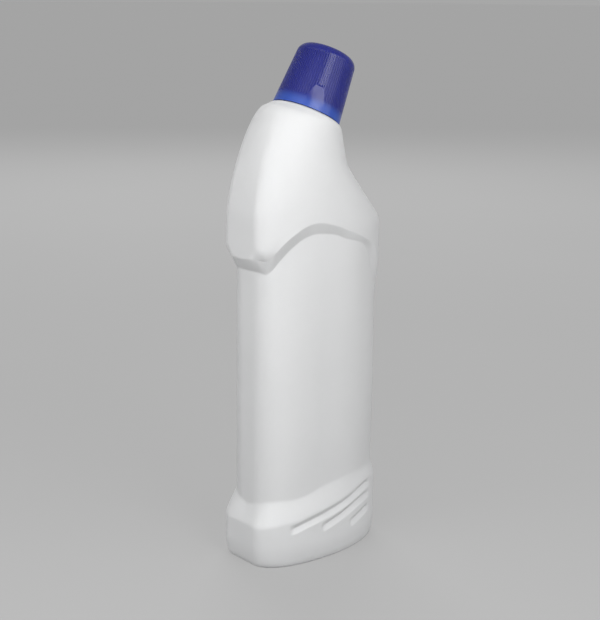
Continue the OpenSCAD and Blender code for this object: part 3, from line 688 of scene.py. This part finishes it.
def rib_ground(r, h, turn):
    """Depth of the ground between the ribs, and of the dip in the pads, below the cap's side."""
    up = h - RIM_GAP
    if r < cap_side(up) - 0.3 or up > RIB_TOP + 2:
        return 0 * turn
    away = np.abs((turn - PAD_ANGLE + math.pi / 2) % math.pi - math.pi / 2) * r
    band = ease((up - RIB_FOOT + 0.2) / 0.5) * ease((RIB_TOP + 0.5 - up) / 0.9)
    half = pad_half(up)
    pad = ease((away - half + 0.2) / 0.45)
    top = ease((up - PAD_TOP + 0.2) / 0.45)
    flat_pad = PAD_DIP * np.clip(1 - (away / half) ** 2, 0, 1) * ease((PAD_TOP - up) / 0.6)
    return np.maximum(RIB_RISE * band * np.maximum(pad, top), flat_pad)


def cap_profile():
    """Profile of the cap from the middle of its inside, down the skirt, round the rim and over the top."""
    round_h = CAP_H - CAP_ROUND
    round_x = cap_side(round_h) - CAP_ROUND / math.cos(CAP_ANGLE)
    pocket = (CAP_RIM_R - CAP_WALL - SKIRT_BORE_R - SKIRT_T - POCKET_W) / CAP_LEAN
    roof = CAP_H - CAP_ROOF
    inside = [(8.0, roof), (13.5, roof), (SKIRT_BORE_R, roof - 0.4), (SKIRT_BORE_R, 18.0),
              (SKIRT_BORE_R, SKIRT_RAISE + 0.3), (14.2, SKIRT_RAISE), (14.8, SKIRT_RAISE),
              (SKIRT_BORE_R + SKIRT_T, SKIRT_RAISE + 0.3), (SKIRT_BORE_R + SKIRT_T, 10.0),
              (SKIRT_BORE_R + SKIRT_T, pocket - 0.2), (SKIRT_BORE_R + SKIRT_T + 0.2, pocket),
              (cap_side(pocket) - CAP_WALL - 0.2, pocket), (cap_side(pocket) - CAP_WALL, pocket - 0.2),
              (cap_side(8.0) - CAP_WALL, 8.0), (cap_side(2.0) - CAP_WALL, 2.0),
              (CAP_RIM_R - CAP_WALL, 0.2), (CAP_RIM_R - CAP_WALL + 0.2, -0.1)]
    edge = [(CAP_RIM_R - 0.4, -0.22), (CAP_RIM_R - 0.12, -0.2), (CAP_RIM_R, -0.08)]
    side = [(cap_side(h), h) for h in np.arange(0.45, round_h + CAP_ROUND * math.sin(CAP_ANGLE), 0.4)]
    top = [(round_x + CAP_ROUND * math.cos(a), round_h + CAP_ROUND * math.sin(a))
           for a in np.linspace(CAP_ANGLE, math.pi / 2, 16)]
    crown = [(r, CAP_H) for r in (round_x - 0.8, 8.0, 3.0)]
    whole = [(0, roof), *inside, *edge, *side, *top, *crown, (0, CAP_H)]
    return np.array([(r, h + RIM_GAP) for r, h in whole])


def grown(name, make, values, material, place):
    """A mesh grown by a node tree: values are its named inputs, make builds it and gives its geometry."""
    tree = bpy.data.node_groups.new(name, "GeometryNodeTree")
    tree.interface.new_socket("Geometry", in_out="OUTPUT", socket_type="NodeSocketGeometry")
    named = {}
    for key, value in values.items():
        kind = "NodeSocketInt" if isinstance(value, int) else "NodeSocketFloat"
        named[key] = tree.interface.new_socket(key, in_out="INPUT", socket_type=kind)
    graph = Graph(tree)
    entry = tree.nodes.new("NodeGroupInput")
    inputs = {key: Value(graph, entry.outputs[key]) for key in values}
    shape = make(graph, inputs)
    shape = graph.node("GeometryNodeRealizeInstances", {}, {"Geometry": shape})
    shape = graph.node("GeometryNodeSetShadeSmooth", {}, {0: shape})
    shape = graph.node("GeometryNodeSetMaterial", {}, {"Geometry": shape, "Material": material})
    tree.links.new(shape.socket, tree.nodes.new("NodeGroupOutput").inputs[0])
    obj = bpy.data.objects.new(name, bpy.data.meshes.new(name))
    bpy.context.scene.collection.objects.link(obj)
    modifier = obj.modifiers.new(name, "NODES")
    modifier.node_group = tree
    for key, value in values.items():
        modifier[named[key].identifier] = value
    depsgraph = bpy.context.evaluated_depsgraph_get()
    mesh = bpy.data.meshes.new_from_object(obj.evaluated_get(depsgraph))
    obj.modifiers.clear()
    mesh.transform(place)
    obj.data = mesh
    return obj


def rib_tree(graph, size):
    """Upright flat-topped ribs around the cap; those over a squeeze pad stop at its edge."""
    index = graph.node("GeometryNodeInputIndex", {}, {})
    turn = (index + size["First"]) * (2 * math.pi) / size["Count"]
    off = graph.node("ShaderNodeMath", {"operation": "WRAP"},
                     {0: turn - size["Pad Angle"], 1: math.pi / 2, 2: -math.pi / 2})
    away = abs(off) * size["Pad Radius"]
    cut = size["Pad Top"] - (away - size["Pad Half"]) / size["Pad Flare"]
    foot = size["Foot"].most(cut.least(size["Pad Top"])) - size["Overlap"]
    radius = size["Top Radius"]
    at = graph.node("ShaderNodeCombineXYZ", {}, {
        0: radius * turn.maths("COSINE"), 1: radius * turn.maths("SINE"), 2: size["Top"]})
    points = graph.node("GeometryNodePoints", {}, {"Count": size["Count"], "Position": at})
    spine = graph.node("GeometryNodeCurvePrimitiveLine", {}, {"End": (0, 0, -1)})
    block = graph.node("GeometryNodeCurvePrimitiveQuadrilateral", {"mode": "RECTANGLE"}, {0: 2.0, 1: 2.0})
    block = graph.node("GeometryNodeFilletCurve", {"mode": "POLY"},
                       {"Curve": block, "Radius": size["Edge Share"], "Count": 2})
    rib = graph.node("GeometryNodeCurveToMesh", {},
                     {"Curve": spine, "Profile Curve": block, "Fill Caps": True})
    scale = graph.node("ShaderNodeCombineXYZ", {}, {
        0: size["Rib Rise"], 1: size["Rib Half"], 2: (size["Top"] - foot) / math.cos(CAP_ANGLE)})
    facing = graph.node("ShaderNodeCombineXYZ", {}, {0: 0.0, 1: -CAP_ANGLE, 2: turn})
    facing = graph.node("FunctionNodeEulerToRotation", {}, {0: facing})
    return graph.node("GeometryNodeInstanceOnPoints", {}, {
        "Points": points, "Instance": rib, "Rotation": facing, "Scale": scale})


def thread_tree(graph, size):
    """Right-hand ridge that winds up around the neck's axis and runs out at both ends."""
    spiral = graph.node("GeometryNodeCurveSpiral", {}, {
        "Resolution": 48, "Rotations": size["Turns"], "Start Radius": size["Radius"],
        "End Radius": size["Radius"], "Height": size["Turns"] * size["Pitch"], "Reverse": True})
    factor = graph.node("GeometryNodeSplineParameter", {}, {})
    full = (1.0 - abs(factor * 2.0 - 1.0) ** 10.0) ** 0.5
    spiral = graph.node("GeometryNodeSetCurveRadius", {}, {"Curve": spiral, "Radius": full.most(0.05)})
    ring = graph.node("GeometryNodeCurvePrimitiveCircle", {}, {"Resolution": 10, "Radius": size["Ridge"]})
    return graph.node("GeometryNodeCurveToMesh", {},
                      {"Curve": spiral, "Profile Curve": ring, "Fill Caps": True})


def lugs():
    """The two catch lugs beside the neck, with rounded upper edges and their feet sunk into the crown."""
    points, faces = [], []
    steps, sunk, edge = 14, -0.45, 0.4
    profile = rounded([(LUG_R, sunk, 0), (LUG_R + LUG_T, sunk, 0), (LUG_R + LUG_T, LUG_H, edge),
                       (LUG_R, LUG_H, edge)])
    n = len(profile)
    for k in range(2):
        first = len(points)
        for turn in np.linspace(0, LUG_TURN, steps + 1) + k / 2 + PAD_TURN + 0.25:
            a = 2 * math.pi * turn
            way = LEAN * math.cos(a) + np.array([0, math.sin(a), 0])
            points += [NECK_FOOT + RISE * h + way * r for r, h in profile]
        for s in range(steps):
            a = first + s * n
            for i in range(n):
                j = (i + 1) % n
                faces.append((a + i, a + n + i, a + n + j, a + j))
        faces.append(tuple(first + i for i in range(n)))
        faces.append(tuple(first + steps * n + i for i in reversed(range(n))))
    return mesh_object("catch_lugs", points, faces, white)


def on_body(obj, body, slot, *nodes):
    """The piece moves with a body and hides the solids that it stands for; the slot is not used."""
    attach(obj, body)
    if nodes:
        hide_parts(*nodes)


def place_at(height):
    """Frame on the neck's axis at a height above its foot."""
    return NECK_FRAME @ Matrix.Translation((0, 0, height * MM))


on_body(bottle_skin(), "bottle", "bottle_white", "bottle")
on_body(lugs(), "bottle", "bottle_white")
on_body(grown("neck_thread", thread_tree, {
    "Turns": NECK_TURNS, "Pitch": THREAD_PITCH * MM, "Radius": NECK_THREAD_R * MM, "Ridge": NECK_RIDGE * MM},
    white, place_at(THREAD_FOOT)), "bottle", "bottle_white")

seat = NECK_H + REST_GAP
nozzle = rounded([
    (PLUG_R - INSERT_WALL, NECK_H - PLUG_H, 0.2), (PLUG_R, NECK_H - PLUG_H, 0.4), (PLUG_R, seat, 0.05),
    (FLANGE_R, seat, 0.2), (FLANGE_R, seat + FLANGE_T, 0.4), (SPOUT_FOOT_R, seat + FLANGE_T, 1.0),
    (SPOUT_TIP_R, SPOUT_TOP, 0.5), (ORIFICE_R, SPOUT_TOP, 0.2), (ORIFICE_R, SPOUT_TOP - ORIFICE_T, 0.2),
    (SPOUT_TIP_R - INSERT_WALL, SPOUT_TOP - ORIFICE_T, 0.3), (SPOUT_FOOT_R - INSERT_WALL, seat, 0.4),
    (PLUG_R - INSERT_WALL, seat, 0.4)])
on_body(turned("squirt_nozzle", nozzle, 96, natural, closed=True),
        "bottle", "nozzle_natural", "nozzle_insert")

low = SPOUT_TOP + REST_GAP
high, ease_off = low + WAD_T, 0.2
wad = np.array([(0, low), (6.0, low), (WAD_R - ease_off, low), (WAD_R, low + ease_off),
                (WAD_R, high - ease_off), (WAD_R - ease_off, high), (6.0, high), (0, high)])
on_body(turned("foam_wad", wad, 96, foam, closed=False), "wad", "wad_foam", "sealing_wad")

on_body(turned("cap_shell", cap_profile(), 320, blue, closed=False, inset=rib_ground),
        "cap", "cap_blue", "cap")
on_body(grown("cap_ribs", rib_tree, {
    "Count": RIB_COUNT, "First": RIB_FIRST, "Top": (RIB_TOP + RIB_LAP) * MM,
    "Top Radius": (cap_side(RIB_TOP + RIB_LAP) - RIB_RISE) * MM, "Foot": RIB_FOOT * MM,
    "Overlap": RIB_LAP * MM, "Rib Rise": (RIB_RISE - RIB_SINK) * MM, "Rib Half": RIB_HALF * MM,
    "Edge Share": RIB_EDGE, "Pad Angle": PAD_ANGLE, "Pad Radius": PAD_R * MM, "Pad Top": PAD_TOP * MM,
    "Pad Half": PAD_HALF * MM, "Pad Flare": PAD_FLARE},
    blue, place_at(RIM_GAP)), "cap", "cap_blue")
on_body(grown("cap_thread", thread_tree, {
    "Turns": CAP_TURNS, "Pitch": THREAD_PITCH * MM, "Radius": CAP_THREAD_R * MM, "Ridge": CAP_RIDGE * MM},
    blue, place_at(THREAD_FOOT + THREAD_PITCH / 2)), "cap", "cap_blue")


# Floor, light and camera

# Floor and backdrop as they are looked at, and the light that the backdrop gives; sizes in metres
FLOOR_PALE, FLOOR_SHARE, FLOOR_HALF = (0.68, 0.68, 0.68, 1.0), 0.5, 60
BACKDROP_PALE, BACKDROP_LIGHT = (0.39, 0.39, 0.39, 1.0), 0.18
LAMP_AIM, CAMERA_AIM = (0, 0, 0.14), (WIDEST_X * MM, 0, 0.14)


def seen(graph):
    """1 for what is looked at, straight, in a gloss or through a clear piece; 0 for what only gives light."""
    straight, gloss, through = (graph.node("ShaderNodeLightPath", {}, {}, out=f"Is {kind} Ray")
                                for kind in ("Camera", "Glossy", "Transmission"))
    return (straight + gloss + through).least(1.0)


def floor_pale():
    """Plain pale floor with a faint cloud, looked at as a paler one that keeps the shadow."""
    material, graph, feed = material_graph("floor_pale", {"Roughness": 0.9, "Specular IOR Level": 0.1})
    place = graph.node("ShaderNodeTexCoord", {}, {}, out="Object")
    feed(Base_Color=mixed(graph, noise(graph, place, 3.0), *FLOOR_GREY))
    lit = Value(graph, graph.tree.nodes["Principled BSDF"].outputs[0])
    pale = graph.node("ShaderNodeEmission", {}, {"Color": FLOOR_PALE, "Strength": 1.0})
    whole = graph.node("ShaderNodeMixShader", {}, {0: seen(graph) * FLOOR_SHARE, 1: lit, 2: pale})
    graph.tree.links.new(whole.socket, graph.tree.nodes["Material Output"].inputs["Surface"])
    return material


floor_mesh = bpy.data.meshes.new("floor")
floor_mesh.from_pydata([(x * FLOOR_HALF, y * FLOOR_HALF, 0) for x, y in ((-1, -1), (1, -1), (1, 1), (-1, 1))],
                       [], [(0, 1, 2, 3)])
floor_mesh.materials.append(floor_pale())
floor = bpy.data.objects.new("floor", floor_mesh)
bpy.context.scene.collection.objects.link(floor)

world = bpy.data.worlds.new("studio")
world.use_nodes = True
sky = Graph(world.node_tree)
light = sky.node("ShaderNodeBackground", {}, {"Color": (1.0, 1.0, 1.0, 1.0), "Strength": BACKDROP_LIGHT})
pale = sky.node("ShaderNodeBackground", {}, {"Color": BACKDROP_PALE, "Strength": 1.0})
sky.tree.links.new(sky.node("ShaderNodeMixShader", {}, {0: seen(sky), 1: light, 2: pale}).socket,
                   sky.tree.nodes["World Output"].inputs["Surface"])
bpy.context.scene.world = world


def soft_lamp(name, place, size, power, gloss=True):
    """Square soft lamp that looks at the middle of the bottle; without gloss it isn't mirrored in it."""
    lamp = bpy.data.lights.new(name, "AREA")
    lamp.size = size
    lamp.energy = power
    obj = bpy.data.objects.new(name, lamp)
    aim = np.array(LAMP_AIM) - np.array(place)
    facing = aim / np.linalg.norm(aim)
    side = np.cross(facing, [0, 0, 1.0])
    side /= np.linalg.norm(side)
    up = np.cross(side, facing)
    turn = Matrix(np.stack([side, up, -facing], 1).tolist()).to_4x4()
    obj.matrix_world = Matrix.Translation(place) @ turn
    obj.visible_glossy = gloss
    bpy.context.scene.collection.objects.link(obj)


soft_lamp("key", (-0.08, -0.46, 0.45), 0.21, 1.2)
soft_lamp("fill", (-0.42, -0.12, 0.34), 0.55, 2.05)
soft_lamp("side", (0.38, -0.95, 0.42), 0.7, 3.7)
soft_lamp("back", (0.9, 1.3, 1.3), 1.2, 23.0, gloss=False)

# Camera of the photo: 39.6 degrees round from the -Y side towards the front, 12.7 degrees up
CAMERA_TURN, CAMERA_PITCH, CAMERA_ROLL = (math.radians(degrees) for degrees in (39.62, 12.70, 0.59))
CAMERA_D = 0.74488
st, ct = math.sin(CAMERA_TURN), math.cos(CAMERA_TURN)
sp, cp = math.sin(CAMERA_PITCH), math.cos(CAMERA_PITCH)
towards = np.array([-st * cp, -ct * cp, sp])
level = np.array([ct, -st, 0.0])
upright = np.array([st * sp, ct * sp, cp])
right = math.cos(CAMERA_ROLL) * level + math.sin(CAMERA_ROLL) * upright
up = -math.sin(CAMERA_ROLL) * level + math.cos(CAMERA_ROLL) * upright
eye = np.array(CAMERA_AIM) + towards * CAMERA_D
camera_data = bpy.data.cameras.new("camera")
camera_data.sensor_width = 36.0
camera_data.lens = 79.1
camera_data.shift_x, camera_data.shift_y = 0.0039, -0.0100
camera_data.clip_start = 0.01
camera = bpy.data.objects.new("camera", camera_data)
facing = Matrix(np.stack([right, up, towards], 1).tolist()).to_4x4()
camera.matrix_world = Matrix.Translation(eye) @ facing
bpy.context.scene.collection.objects.link(camera)
bpy.context.scene.camera = camera
bpy.context.scene.view_settings.view_transform = "Standard"
